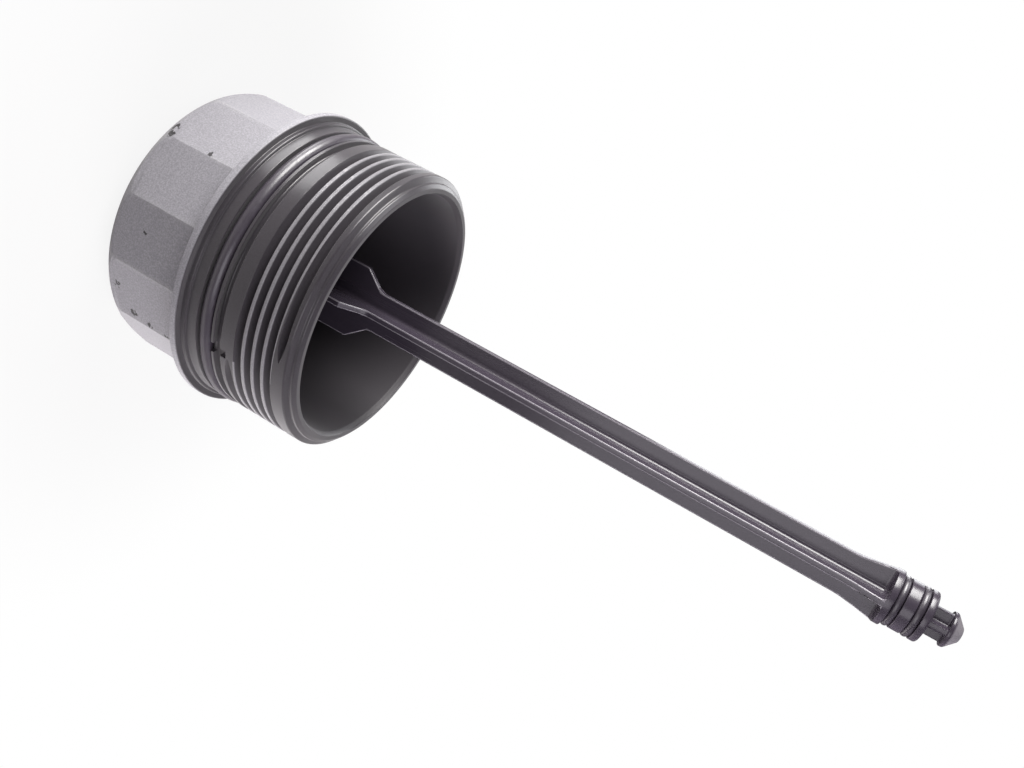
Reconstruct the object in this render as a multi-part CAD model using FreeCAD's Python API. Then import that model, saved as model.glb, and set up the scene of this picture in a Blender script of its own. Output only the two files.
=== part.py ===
import FreeCAD, Part
import math
import os

# Oil filter housing cap with a long cross-shaped stem. Lengths are in millimetres.
# The cap stands on its domed wrench head: the head's flat top lies on z = 0 and +Z runs
# along the axis to the tip of the stem. The stem's four fins point along +X, -X, +Y and -Y.

# Wrench head
HEAD_FLATS = 14
HEAD_WALL = 2.5
HEAD_HEIGHT = 28.9
HEAD_EDGE_R = 8.2
HEAD_DRAFT = 0.4
CORNER_STOCK = 0.12

# Screw thread: a right-hand vee groove cut into a plain land
CREST_R = 39.2
THREAD_PITCH = 3.0
THREAD_ANGLE = 60.0
CREST_WIDTH = 0.9
LAND_HEIGHT = 19.4
THREAD_START = 2.35
THREAD_END = 2.17
THREAD_START_ANGLE = 116.0

# Steps between the head and the thread, each measured from the crest radius
FLANGE_STAND = 2.8
FLANGE_HEIGHT = 2.1
STEP_STAND = 1.0
STEP_HEIGHT = 1.3
COLLAR_STAND = 0.2
COLLAR_HEIGHT = 2.95
RIDGE_DROP = 0.15
RIDGE_HEIGHT = 0.9
RELIEF_DEPTH = 1.8
RELIEF_HEIGHT = 2.1

# Plain lip at the mouth
LIP_DROP = 1.6
LIP_TAPER_HEIGHT = 0.7
LIP_HEIGHT = 0.7
LIP_CHAMFER_HEIGHT = 0.7
LIP_CHAMFER_WIDTH = 1.0

# Slot through the ridge, and the notch from it to the start of the thread
SLOT_ANGLE = 115.0
SLOT_WIDTH = 2.9
SLOT_DEPTH = 1.3
NOTCH_WIDTH = 2.2
NOTCH_HEIGHT = 1.8
NOTCH_DEPTH = 1.3

# Hollow inside of the cap
BORE_WALL = 3.0
MOUTH_CHAMFER_WIDTH = 0.8
MOUTH_CHAMFER_HEIGHT = 1.3
FLOOR_THICKNESS = 3.0
FLOOR_CORNER_R = 5.0

# Large O-ring in front of the flange
CAP_RING_SECTION = 3.5
CAP_RING_SEAT_DEPTH = 3.05
CAP_RING_SIDE_PLAY = 0.85
RING_CLEARANCE = 0.05

# Socket in the cap's floor and the stem's plug in it
PLUG_R = 7.95
PLUG_CLEARANCE = 0.05
PLUG_END_CLEARANCE = 0.3
PLUG_CHAMFER = 0.6
SOCKET_WALL = 4.0
SOCKET_HEIGHT = 8.0

# Stem: foot, shaft and flare, all of one cross section; each height ends at a bend's corner
FIN_THICKNESS = 1.6
FOOT_COLLAR_STAND = 3.05
FOOT_COLLAR_HEIGHT = 2.0
FOOT_FIN_R = 10.0
FOOT_FIN_HEIGHT = 41.3
FOOT_FLARE_HEIGHT = 5.7
FOOT_FLARE_BEND_R = 4.0
FOOT_FIN_CORNER_R = 1.0
SHAFT_R = 5.45
SHAFT_HEIGHT = 134.5
HEAD_FLARE_HEIGHT = 8.4
HEAD_FLARE_BEND_R = 20.0
POCKET_CORNER_R = 1.1

# Seal head of the stem, from its first collar to its last land
SEAL_COLLAR_R = 6.85
SEAL_COLLAR_HEIGHT = 1.6
SEAL_LAND_R = 6.25
SEAL_LAND_HEIGHT = 2.7
END_LAND_R = 6.3
END_LAND_HEIGHT = 1.7
END_LAND_CHAMFER = 0.5
STEM_RING_SECTION = 1.8
STEM_RING_SEAT_R = 4.5
STEM_RING_SIDE_PLAY = 0.2

# Cross-shaped neck and conical tip
NECK_R = 3.6
NECK_HEIGHT = 4.5
NECK_FIN_THICKNESS = 1.6
TIP_FLANGE_R = 4.3
TIP_FLANGE_HEIGHT = 0.8
TIP_CONE_HEIGHT = 2.4
TIP_END_R = 1.7
TIP_ROUND_R = 0.8

# How far a cutting tool reaches past the surface it cuts
OVERCUT = 0.2

# How far the chords of a rounded edge may lie from its true arc
CHORD_ERROR = 0.12

FIN_COUNT = 4
FULL_TURN = 360.0
AXIS_POINT = FreeCAD.Vector(0, 0, 0)
AXIS = FreeCAD.Vector(0, 0, 1)

# Heights of the O-ring grooves
CAP_RING_GROOVE_HEIGHT = CAP_RING_SECTION + CAP_RING_SIDE_PLAY
STEM_RING_GROOVE_HEIGHT = STEM_RING_SECTION + STEM_RING_SIDE_PLAY

# Levels along the axis, each from the one before
FLANGE_BACK_Z = HEAD_HEIGHT
FLANGE_FRONT_Z = FLANGE_BACK_Z + FLANGE_HEIGHT
STEP_FRONT_Z = FLANGE_FRONT_Z + STEP_HEIGHT
COLLAR_FRONT_Z = STEP_FRONT_Z + COLLAR_HEIGHT
RIDGE_BACK_Z = COLLAR_FRONT_Z + CAP_RING_GROOVE_HEIGHT
RIDGE_FRONT_Z = RIDGE_BACK_Z + RIDGE_HEIGHT
LAND_BACK_Z = RIDGE_FRONT_Z + RELIEF_HEIGHT
LAND_FRONT_Z = LAND_BACK_Z + LAND_HEIGHT
LIP_BACK_Z = LAND_FRONT_Z + LIP_TAPER_HEIGHT
LIP_FRONT_Z = LIP_BACK_Z + LIP_HEIGHT
MOUTH_Z = LIP_FRONT_Z + LIP_CHAMFER_HEIGHT

# Radii that follow from the sizes above
THREAD_DEPTH = (THREAD_PITCH - CREST_WIDTH) / 2 / math.tan(math.radians(THREAD_ANGLE / 2))
ROOT_R = CREST_R - THREAD_DEPTH
LIP_R = CREST_R - LIP_DROP
FLANGE_R = CREST_R + FLANGE_STAND
STEP_R = CREST_R + STEP_STAND
COLLAR_R = CREST_R + COLLAR_STAND
RIDGE_R = CREST_R - RIDGE_DROP
RELIEF_R = CREST_R - RELIEF_DEPTH
CAP_RING_SEAT_R = CREST_R - CAP_RING_SEAT_DEPTH
BORE_R = LIP_R - BORE_WALL
HALF_ACROSS_FLATS = BORE_R + HEAD_WALL
SOCKET_BORE_R = PLUG_R + PLUG_CLEARANCE
SOCKET_R = SOCKET_BORE_R + SOCKET_WALL
FOOT_COLLAR_R = PLUG_R + FOOT_COLLAR_STAND


def half_across_flats(z):
    """Half of the head's width across flats, which shrinks with the draft towards its top."""
    return HALF_ACROSS_FLATS - (HEAD_HEIGHT - z) * math.tan(math.radians(HEAD_DRAFT))


def corner_radius(z):
    """Distance from the axis to the head's corner edges."""
    return half_across_flats(z) / math.cos(math.pi / HEAD_FLATS)


def chord_count(radius, turn):
    """How many chords follow an arc closely enough."""
    step = 2 * math.acos(1 - CHORD_ERROR / max(radius, 2 * CHORD_ERROR))
    return max(1, math.ceil(turn / step))


def rounded(before, corner, after, radius):
    """Points along the arc that rounds one corner of an outline."""
    back = (before - corner).normalize()
    ahead = (after - corner).normalize()
    half_angle = back.getAngle(ahead) / 2
    centre = corner + (back + ahead).normalize() * (radius / math.sin(half_angle))
    start = corner + back * (radius / math.tan(half_angle)) - centre
    end = corner + ahead * (radius / math.tan(half_angle)) - centre
    turn = math.pi - 2 * half_angle
    count = chord_count(radius, turn)
    points = []
    for index in range(count + 1):
        share = index / count
        along = start * math.sin((1 - share) * turn) + end * math.sin(share * turn)
        points.append(centre + along * (1 / math.sin(turn)))
    return points


def turned(corners):
    """Solid of revolution; each corner of its outline is (radius, height, rounding)."""
    points = [FreeCAD.Vector(corner[0], 0, corner[1]) for corner in corners]
    outline = []
    for index, point in enumerate(points):
        rounding = corners[index][2]
        if rounding > 0:
            after = points[(index + 1) % len(points)]
            outline.extend(rounded(points[index - 1], point, after, rounding))
        else:
            outline.append(point)
    outline.append(outline[0])
    return Part.Face(Part.makePolygon(outline)).revolve(AXIS_POINT, AXIS, FULL_TURN)


def ring(seat_r, section, centre_z):
    """Rubber ring of round section that rests on a groove's bottom."""
    section_r = section / 2
    centre_r = seat_r + RING_CLEARANCE + section_r
    sides = 2 * chord_count(section_r, math.pi)
    corners = []
    for index in range(sides):
        angle = 2 * math.pi * index / sides
        across = section_r * math.cos(angle)
        along = section_r * math.sin(angle)
        corners.append((centre_r + across, centre_z + along, 0))
    return turned(corners)


def head_corners(z):
    """The head's corners at one height, the first on +X and repeated at the end."""
    radius = corner_radius(z)
    points = []
    for index in range(HEAD_FLATS + 1):
        angle = 2 * math.pi * index / HEAD_FLATS
        points.append(FreeCAD.Vector(radius * math.cos(angle), radius * math.sin(angle), z))
    return points


def wrench_head():
    """Domed turned blank with the wrench flats cut along it."""
    blank = turned([
        (0, 0, 0),
        (corner_radius(0) + CORNER_STOCK, 0, HEAD_EDGE_R),
        (corner_radius(HEAD_HEIGHT) + CORNER_STOCK, HEAD_HEIGHT, 0),
        (0, HEAD_HEIGHT, 0),
    ])
    low = head_corners(-OVERCUT)
    high = head_corners(HEAD_HEIGHT)
    faces = [Part.Face(Part.makePolygon(low)), Part.Face(Part.makePolygon(high))]
    for index in range(HEAD_FLATS):
        flat = [low[index], low[index + 1], high[index + 1], high[index], low[index]]
        faces.append(Part.Face(Part.makePolygon(flat)))
    return blank.common(Part.makeSolid(Part.makeShell(faces)))


def stepped_body():
    """Flange, collars, O-ring groove, ridge, relief groove, land and lip, as turned."""
    return turned([
        (0, FLANGE_BACK_Z, 0),
        (FLANGE_R, FLANGE_BACK_Z, 0),
        (FLANGE_R, FLANGE_FRONT_Z, 0),
        (STEP_R, FLANGE_FRONT_Z, 0),
        (STEP_R, STEP_FRONT_Z, 0),
        (COLLAR_R, STEP_FRONT_Z, 0),
        (COLLAR_R, COLLAR_FRONT_Z, 0),
        (CAP_RING_SEAT_R, COLLAR_FRONT_Z, 0),
        (CAP_RING_SEAT_R, RIDGE_BACK_Z, 0),
        (RIDGE_R, RIDGE_BACK_Z, 0),
        (RIDGE_R, RIDGE_FRONT_Z, 0),
        (RELIEF_R, RIDGE_FRONT_Z, 0),
        (RELIEF_R, LAND_BACK_Z, 0),
        (CREST_R, LAND_BACK_Z, 0),
        (CREST_R, LAND_FRONT_Z, 0),
        (LIP_R, LIP_BACK_Z, 0),
        (LIP_R, LIP_FRONT_Z, 0),
        (LIP_R - LIP_CHAMFER_WIDTH, MOUTH_Z, 0),
        (0, MOUTH_Z, 0),
    ])


def hollow():
    """Space inside the cap, which leaves the floor and the socket for the stem standing."""
    floor_z = FLOOR_THICKNESS
    socket_top_z = floor_z + SOCKET_HEIGHT
    return turned([
        (0, floor_z, 0),
        (SOCKET_BORE_R, floor_z, 0),
        (SOCKET_BORE_R, socket_top_z, 0),
        (SOCKET_R, socket_top_z, 0),
        (SOCKET_R, floor_z, 0),
        (BORE_R, floor_z, FLOOR_CORNER_R),
        (BORE_R, MOUTH_Z - MOUTH_CHAMFER_HEIGHT, 0),
        (BORE_R + MOUTH_CHAMFER_WIDTH, MOUTH_Z, 0),
        (BORE_R + MOUTH_CHAMFER_WIDTH, MOUTH_Z + OVERCUT, 0),
        (0, MOUTH_Z + OVERCUT, 0),
    ])


def thread_groove():
    """Right-hand helical vee groove, from the notch to short of the lip."""
    start_z = LAND_BACK_Z + THREAD_START
    height = LAND_HEIGHT - THREAD_START - THREAD_END
    outer_r = CREST_R + OVERCUT
    half_width = (outer_r - ROOT_R) * math.tan(math.radians(THREAD_ANGLE / 2))
    section = Part.makePolygon([
        FreeCAD.Vector(ROOT_R, 0, 0),
        FreeCAD.Vector(outer_r, 0, -half_width),
        FreeCAD.Vector(outer_r, 0, half_width),
        FreeCAD.Vector(ROOT_R, 0, 0),
    ])
    path = Part.Wire(Part.makeHelix(THREAD_PITCH, height, CREST_R))
    groove = path.makePipeShell([section], True, True)
    groove.rotate(AXIS_POINT, AXIS, THREAD_START_ANGLE)
    groove.translate(FreeCAD.Vector(0, 0, start_z))
    return groove


def radial_cut(width, inner_r, back_z, front_z):
    """Block that cuts a slot of one width through the cap's side, down to a radius."""
    length = FLANGE_R - inner_r
    block = Part.makeBox(length, width, front_z - back_z, FreeCAD.Vector(inner_r, -width / 2, back_z))
    block.rotate(AXIS_POINT, AXIS, SLOT_ANGLE)
    return block


def cap_shell():
    """The moulded cap."""
    shell = wrench_head().fuse(stepped_body()).removeSplitter()
    shell = shell.cut(hollow())
    slot_floor_r = RIDGE_R - SLOT_DEPTH
    notch_floor_r = CREST_R - NOTCH_DEPTH
    notch_front_z = LAND_BACK_Z + NOTCH_HEIGHT
    shell = shell.cut(radial_cut(SLOT_WIDTH, slot_floor_r, RIDGE_BACK_Z, RIDGE_FRONT_Z))
    shell = shell.cut(radial_cut(NOTCH_WIDTH, notch_floor_r, LAND_BACK_Z, notch_front_z))
    return shell.cut(thread_groove())


def cap_o_ring():
    """Large ring, midway between the walls of its groove."""
    return ring(CAP_RING_SEAT_R, CAP_RING_SECTION, (COLLAR_FRONT_Z + RIDGE_BACK_Z) / 2)


# Levels along the stem, each from the one before
PLUG_BACK_Z = FLOOR_THICKNESS + PLUG_END_CLEARANCE
FOOT_BACK_Z = FLOOR_THICKNESS + SOCKET_HEIGHT
FIN_BACK_Z = FOOT_BACK_Z + FOOT_COLLAR_HEIGHT
FOOT_FLARE_Z = FIN_BACK_Z + FOOT_FIN_HEIGHT
SHAFT_BACK_Z = FOOT_FLARE_Z + FOOT_FLARE_HEIGHT
HEAD_FLARE_Z = SHAFT_BACK_Z + SHAFT_HEIGHT
SEAL_COLLAR_Z = HEAD_FLARE_Z + HEAD_FLARE_HEIGHT
LOWER_GROOVE_Z = SEAL_COLLAR_Z + SEAL_COLLAR_HEIGHT
SEAL_LAND_Z = LOWER_GROOVE_Z + STEM_RING_GROOVE_HEIGHT
UPPER_GROOVE_Z = SEAL_LAND_Z + SEAL_LAND_HEIGHT
END_LAND_Z = UPPER_GROOVE_Z + STEM_RING_GROOVE_HEIGHT
NECK_Z = END_LAND_Z + END_LAND_HEIGHT
TIP_FLANGE_Z = NECK_Z + NECK_HEIGHT
TIP_CONE_Z = TIP_FLANGE_Z + TIP_FLANGE_HEIGHT
TIP_Z = TIP_CONE_Z + TIP_CONE_HEIGHT


def stem_blank():
    """Round outline of the whole stem, before the pockets between its fins are cut."""
    return turned([
        (0, PLUG_BACK_Z, 0),
        (PLUG_R - PLUG_CHAMFER, PLUG_BACK_Z, 0),
        (PLUG_R, PLUG_BACK_Z + PLUG_CHAMFER, 0),
        (PLUG_R, FOOT_BACK_Z, 0),
        (FOOT_COLLAR_R, FOOT_BACK_Z, 0),
        (FOOT_COLLAR_R, FIN_BACK_Z, 0),
        (FOOT_FIN_R, FIN_BACK_Z, 0),
        (FOOT_FIN_R, FOOT_FLARE_Z, FOOT_FIN_CORNER_R),
        (SHAFT_R, SHAFT_BACK_Z, FOOT_FLARE_BEND_R),
        (SHAFT_R, HEAD_FLARE_Z, HEAD_FLARE_BEND_R),
        (SEAL_COLLAR_R, SEAL_COLLAR_Z, 0),
        (SEAL_COLLAR_R, LOWER_GROOVE_Z, 0),
        (STEM_RING_SEAT_R, LOWER_GROOVE_Z, 0),
        (STEM_RING_SEAT_R, SEAL_LAND_Z, 0),
        (SEAL_LAND_R, SEAL_LAND_Z, 0),
        (SEAL_LAND_R, UPPER_GROOVE_Z, 0),
        (STEM_RING_SEAT_R, UPPER_GROOVE_Z, 0),
        (STEM_RING_SEAT_R, END_LAND_Z, 0),
        (END_LAND_R, END_LAND_Z, 0),
        (END_LAND_R, NECK_Z - END_LAND_CHAMFER, 0),
        (END_LAND_R - END_LAND_CHAMFER, NECK_Z, 0),
        (NECK_R, NECK_Z, 0),
        (NECK_R, TIP_FLANGE_Z, 0),
        (TIP_FLANGE_R, TIP_FLANGE_Z, 0),
        (TIP_FLANGE_R, TIP_CONE_Z, 0),
        (TIP_END_R, TIP_Z, TIP_ROUND_R),
        (0, TIP_Z, 0),
    ])


def pocket_block(fin_thickness, reach, back_z, front_z):
    """Square block that fills the space between two neighbouring fins of a cross."""
    inner = fin_thickness / 2
    return Part.makeBox(reach, reach, front_z - back_z, FreeCAD.Vector(inner, inner, back_z))


def four_around(pocket):
    """The same pocket between each two of the four fins."""
    pockets = []
    for index in range(FIN_COUNT):
        copy = pocket.copy()
        copy.rotate(AXIS_POINT, AXIS, FULL_TURN * index / FIN_COUNT)
        pockets.append(copy)
    return pockets


def shaft_pockets():
    """Pockets along the shaft, rounded where the fins meet and where the seal head begins."""
    block = pocket_block(FIN_THICKNESS, FOOT_COLLAR_R, FIN_BACK_Z, SEAL_COLLAR_Z)
    far = FIN_THICKNESS / 2 + FOOT_COLLAR_R
    soft_edges = []
    for edge in block.Edges:
        middle = edge.CenterOfMass
        on_inner_walls = max(middle.x, middle.y) < far - POCKET_CORNER_R
        if on_inner_walls and middle.z > FIN_BACK_Z + POCKET_CORNER_R:
            soft_edges.append(edge)
    return four_around(block.makeFillet(POCKET_CORNER_R, soft_edges))


def neck_pockets():
    """Square pockets in the neck between the end land and the tip."""
    return four_around(pocket_block(NECK_FIN_THICKNESS, TIP_FLANGE_R, NECK_Z, TIP_FLANGE_Z))


def stem():
    """The stem in one moulding: plug, foot, fins, seal head, neck and tip."""
    return stem_blank().cut(shaft_pockets()).cut(neck_pockets())


def stem_o_ring(groove_z):
    """Small ring, midway between the walls of its groove."""
    return ring(STEM_RING_SEAT_R, STEM_RING_SECTION, groove_z + STEM_RING_GROOVE_HEIGHT / 2)


def main():
    os.makedirs("parts", exist_ok=True)
    pieces = {
        "cap_shell": cap_shell(),
        "cap_o_ring": cap_o_ring(),
        "stem": stem(),
        "stem_o_ring_lower": stem_o_ring(LOWER_GROOVE_Z),
        "stem_o_ring_upper": stem_o_ring(UPPER_GROOVE_Z),
    }
    for name, shape in pieces.items():
        shape.exportStep("parts/" + name + ".step")
        box = shape.BoundBox
        print(name, shape.isValid(), len(shape.Solids), round(shape.Volume / 1000, 3), "cm3",
              "z", round(box.ZMin, 2), round(box.ZMax, 2), "r", round(box.XMax, 2))


main()
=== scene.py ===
# %% [markdown]
# # Oil filter housing cap
# This lesson dresses one imported part: the screw-on cap of an oil filter housing, with its
# domed wrench head, flange, sealing ring and coarse thread, and the long cross-shaped stem
# with its sealed tip. The imported solids give every place and size. They are loaded first.

import math

import bmesh
import bpy
from mathutils import Matrix, Vector


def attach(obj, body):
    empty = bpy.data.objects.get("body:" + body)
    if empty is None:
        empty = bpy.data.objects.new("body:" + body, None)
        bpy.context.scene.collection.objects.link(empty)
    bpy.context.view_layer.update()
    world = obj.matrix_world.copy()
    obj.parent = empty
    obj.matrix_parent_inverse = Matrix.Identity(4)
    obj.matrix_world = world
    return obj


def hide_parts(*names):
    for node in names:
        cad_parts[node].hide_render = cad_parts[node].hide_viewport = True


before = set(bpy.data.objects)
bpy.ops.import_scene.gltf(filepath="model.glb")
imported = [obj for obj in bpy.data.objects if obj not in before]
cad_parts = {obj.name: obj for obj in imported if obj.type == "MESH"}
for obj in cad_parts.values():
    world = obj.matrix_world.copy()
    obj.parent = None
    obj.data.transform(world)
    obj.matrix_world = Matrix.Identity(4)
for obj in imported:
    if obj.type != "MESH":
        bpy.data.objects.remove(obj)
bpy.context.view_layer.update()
print("packed pieces:", sorted(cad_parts))

# %% [markdown]
# ## Camera
# The photograph looks into the mouth of the cap from the side of the stem, tilted over. The
# camera's place and its two directions are written in the part's own frame, where +Z runs
# from the head to the tip of the stem. The lens is a little wider than normal, which makes
# the near tip look large beside the cap.

# %% Camera
MM = 0.001
CAMERA_PLACE_MM = Vector((75.2975, 229.4931, 169.1491))
CAMERA_RIGHT = Vector((0.388986, -0.370916, 0.843274))
CAMERA_UP = Vector((0.871750, -0.147794, -0.467129))
LENS_MM = 34.8135
SENSOR_WIDTH_MM = 36

bpy.ops.object.camera_add()
camera = bpy.context.object
camera.name = "photo_camera"
camera_axes = Matrix((CAMERA_RIGHT, CAMERA_UP, CAMERA_RIGHT.cross(CAMERA_UP))).transposed()
camera.matrix_world = Matrix.Translation(CAMERA_PLACE_MM * MM) @ camera_axes.to_4x4()
camera.data.lens = LENS_MM
camera.data.sensor_width = SENSOR_WIDTH_MM
camera.data.clip_start = 0.01
bpy.context.scene.camera = camera
print("camera", [round(value, 4) for value in camera.location], "m")

# %% [markdown]
# ## Working by hand in code
# A modeller selects something and then runs a tool on it. The helpers here do the selecting:
# one opens a piece in edit mode with nothing selected, one selects by a rule, and one leaves
# edit mode. Everything is deselected first, because a tool acts on all that is selected. The
# last helper measures a finished piece.

# %% Helpers for selecting
def select_only(piece):
    """Leave one piece selected and active in object mode."""
    if bpy.context.mode != "OBJECT":
        bpy.ops.object.mode_set(mode="OBJECT")
    bpy.ops.object.select_all(action="DESELECT")
    piece.select_set(True)
    bpy.context.view_layer.objects.active = piece


def open_piece(piece):
    """Open a piece in edit mode with nothing selected in it."""
    select_only(piece)
    bpy.ops.object.mode_set(mode="EDIT")
    bpy.ops.mesh.select_mode(type="VERT")
    bpy.ops.mesh.select_all(action="DESELECT")


def choose(kind, rule):
    """Select the points, edges or faces of the open piece that a rule picks."""
    bpy.ops.mesh.select_mode(type=kind)
    bpy.ops.mesh.select_all(action="DESELECT")
    mesh = bmesh.from_edit_mesh(bpy.context.edit_object.data)
    elements = {"VERT": mesh.verts, "EDGE": mesh.edges, "FACE": mesh.faces}[kind]
    picked = 0
    for element in elements:
        if rule(element):
            element.select_set(True)
            picked += 1
    mesh.select_flush_mode()
    bmesh.update_edit_mesh(bpy.context.edit_object.data)
    return picked


def close_piece():
    """Leave edit mode."""
    bpy.ops.object.mode_set(mode="OBJECT")


def report(piece):
    """Print a piece's faces, its edges that don't join two faces, and its volume."""
    mesh = bmesh.new()
    mesh.from_mesh(piece.data)
    open_edges = sum(1 for edge in mesh.edges if len(edge.link_faces) != 2)
    volume = mesh.calc_volume() / MM ** 3 / 1000
    print(piece.name, len(mesh.faces), "faces,", open_edges, "open edges,", round(volume, 2), "cm3")
    mesh.free()


print("helpers ready")

# %% [markdown]
# ## Turned shapes
# Almost every surface here was made by a mould that had been turned on a lathe. The same
# shape comes from half an outline: one point is pulled from corner to corner, the corners
# are rounded with a bevel on points, and the outline is spun about the axis. Each corner is
# written as radius, height and rounding in millimetres.

# %% Helpers for turned shapes
NEAR = 1e-6
FULL_TURN = 2 * math.pi
ROUND_STEPS = 4


def draw_outline(name, corners, round_steps):
    """Pull a point along the corners of half an outline and round those that ask for it."""
    radius, height, _ = corners[0]
    bpy.ops.object.select_all(action="DESELECT")
    bpy.ops.mesh.primitive_plane_add(size=MM, location=(radius * MM, 0, height * MM))
    piece = bpy.context.object
    piece.name = name
    bpy.ops.object.transform_apply(location=True)
    open_piece(piece)
    bpy.ops.mesh.select_all(action="SELECT")
    bpy.ops.mesh.merge(type="CENTER")
    for here, there in zip(corners, corners[1:]):
        step = ((there[0] - here[0]) * MM, 0, (there[1] - here[1]) * MM)
        bpy.ops.mesh.extrude_region_move(TRANSFORM_OT_translate={"value": step})
    for rounding in sorted({corner[2] for corner in corners if corner[2] > 0}):
        places = [Vector((corner[0], 0, corner[1])) * MM for corner in corners if corner[2] == rounding]
        choose("VERT", lambda point: any((point.co - place).length < NEAR for place in places))
        bpy.ops.mesh.bevel(offset=rounding * MM, segments=round_steps, affect="VERTICES")
    return piece


def spin_outline(piece, steps):
    """Spin the open outline about the axis into a closed solid."""
    bpy.ops.mesh.select_all(action="SELECT")
    bpy.ops.mesh.spin(steps=steps, angle=FULL_TURN, center=(0, 0, 0), axis=(0, 0, 1))
    bpy.ops.mesh.select_all(action="SELECT")
    bpy.ops.mesh.remove_doubles(threshold=NEAR)
    bpy.ops.mesh.normals_make_consistent(inside=False)
    close_piece()
    return piece


def turned(name, corners, steps, round_steps=ROUND_STEPS):
    """A turned solid from half its outline."""
    return spin_outline(draw_outline(name, corners, round_steps), steps)


def combine(piece, other, operation):
    """Join another solid to a piece, or cut it away, and take the other one off the scene."""
    select_only(piece)
    bpy.ops.object.modifier_add(type="BOOLEAN")
    modifier = piece.modifiers[-1]
    modifier.operation = operation
    modifier.solver = "EXACT"
    modifier.object = other
    bpy.ops.object.modifier_apply(modifier=modifier.name)
    bpy.data.objects.remove(other)
    open_piece(piece)
    bpy.ops.mesh.select_all(action="SELECT")
    bpy.ops.mesh.remove_doubles(threshold=NEAR)
    close_piece()
    return piece


print("a right-angled corner is rounded in", ROUND_STEPS, "steps")

# %% [markdown]
# ## Wrench head
# A filter wrench grips the fourteen flats of the head. The moulder's tool was a turned dome
# whose sides had been milled flat, so the head is made in the same order: spin the dome,
# then slice fourteen flats off it with bisect, each leaning a little towards the axis so
# that the part leaves its mould. The long corners between the flats are worn round in use,
# so they get a narrow bevel.

# %% Wrench head
HEAD_FLATS = 14
HALF_ACROSS_FLATS = 37.1
HEAD_HEIGHT = 28.9
HEAD_EDGE_R = 8.2
HEAD_DRAFT = math.tan(math.radians(0.4))
CORNER_STOCK = 0.12
HEAD_STEPS = 210
CORNER_WEAR = 0.45
CORNER_LENGTH = 5
CORNER_UPRIGHT = 0.95

corner_share = 1 / math.cos(math.pi / HEAD_FLATS)
head_r_front = HALF_ACROSS_FLATS * corner_share + CORNER_STOCK
head_r_back = (HALF_ACROSS_FLATS - HEAD_HEIGHT * HEAD_DRAFT) * corner_share + CORNER_STOCK
cap = turned("cap", [
    (0, 0, 0),
    (head_r_back, 0, HEAD_EDGE_R),
    (head_r_front, HEAD_HEIGHT, 0),
    (0, HEAD_HEIGHT, 0),
], HEAD_STEPS, round_steps=14)

open_piece(cap)
for index in range(HEAD_FLATS):
    angle = FULL_TURN * (index + 0.5) / HEAD_FLATS
    outward = Vector((math.cos(angle), math.sin(angle), 0))
    on_flat = outward * HALF_ACROSS_FLATS * MM + Vector((0, 0, HEAD_HEIGHT * MM))
    facing = (outward - Vector((0, 0, HEAD_DRAFT))).normalized()
    bpy.ops.mesh.select_all(action="SELECT")
    bpy.ops.mesh.bisect(plane_co=on_flat, plane_no=facing, use_fill=True, clear_outer=True)
bpy.ops.mesh.select_all(action="SELECT")
bpy.ops.mesh.remove_doubles(threshold=NEAR)
close_piece()
report(cap)


def flat_corner(edge):
    """True for a long corner between two flats of the head."""
    if len(edge.link_faces) != 2:
        return False
    along = (edge.verts[0].co - edge.verts[1].co).normalized()
    return abs(along.z) > CORNER_UPRIGHT and edge.calc_length() > CORNER_LENGTH * MM


open_piece(cap)
print("corners between flats:", choose("EDGE", flat_corner))
bpy.ops.mesh.bevel(offset=CORNER_WEAR * MM, segments=3, affect="EDGES", clamp_overlap=True)
close_piece()
report(cap)

# %% [markdown]
# ## Flange, ring groove and land
# In front of the head the cap is stepped: a flange, a low step, the groove that holds the
# large sealing ring, a thin ridge, a relief and the plain land that carries the thread, then
# the lip round the mouth. Every outer corner has a small radius. It is only a few tenths of a
# millimetre, but it is what catches the light as a thin bright line.

# %% Stepped body
BODY_STEPS = 256
FLANGE_BACK, FLANGE_FRONT, STEP_FRONT, COLLAR_FRONT = 28.9, 31.0, 32.3, 35.25
RIDGE_BACK, RIDGE_FRONT, LAND_BACK, LAND_FRONT = 39.6, 40.5, 42.6, 62.0
LIP_BACK, LIP_FRONT, MOUTH = 62.7, 63.4, 64.1
JOINT_R, FLANGE_R, STEP_R, COLLAR_R, RING_SEAT_R = 36.0, 42.0, 40.2, 39.4, 36.15
RIDGE_R, RELIEF_R, CREST_R, LIP_R, MOUTH_R = 39.05, 37.4, 39.2, 37.6, 36.6
JOINT_DEPTH = 0.4

body = turned("body", [
    (0, FLANGE_BACK - JOINT_DEPTH, 0),
    (JOINT_R, FLANGE_BACK - JOINT_DEPTH, 0),
    (JOINT_R, FLANGE_BACK, 0),
    (FLANGE_R, FLANGE_BACK, 0.35),
    (FLANGE_R, FLANGE_FRONT, 0.45),
    (STEP_R, FLANGE_FRONT, 0.2),
    (STEP_R, STEP_FRONT, 0.35),
    (COLLAR_R, STEP_FRONT, 0.2),
    (COLLAR_R, COLLAR_FRONT, 0.25),
    (RING_SEAT_R, COLLAR_FRONT, 0.3),
    (RING_SEAT_R, RIDGE_BACK, 0.3),
    (RIDGE_R, RIDGE_BACK, 0.2),
    (RIDGE_R, RIDGE_FRONT, 0.2),
    (RELIEF_R, RIDGE_FRONT, 0.5),
    (RELIEF_R, LAND_BACK, 0.5),
    (CREST_R, LAND_BACK, 0.3),
    (CREST_R, LAND_FRONT, 0.35),
    (LIP_R, LIP_BACK, 0.25),
    (LIP_R, LIP_FRONT, 0.2),
    (MOUTH_R, MOUTH, 0.2),
    (0, MOUTH, 0),
], BODY_STEPS)
report(body)
combine(cap, body, "UNION")
report(cap)

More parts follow.
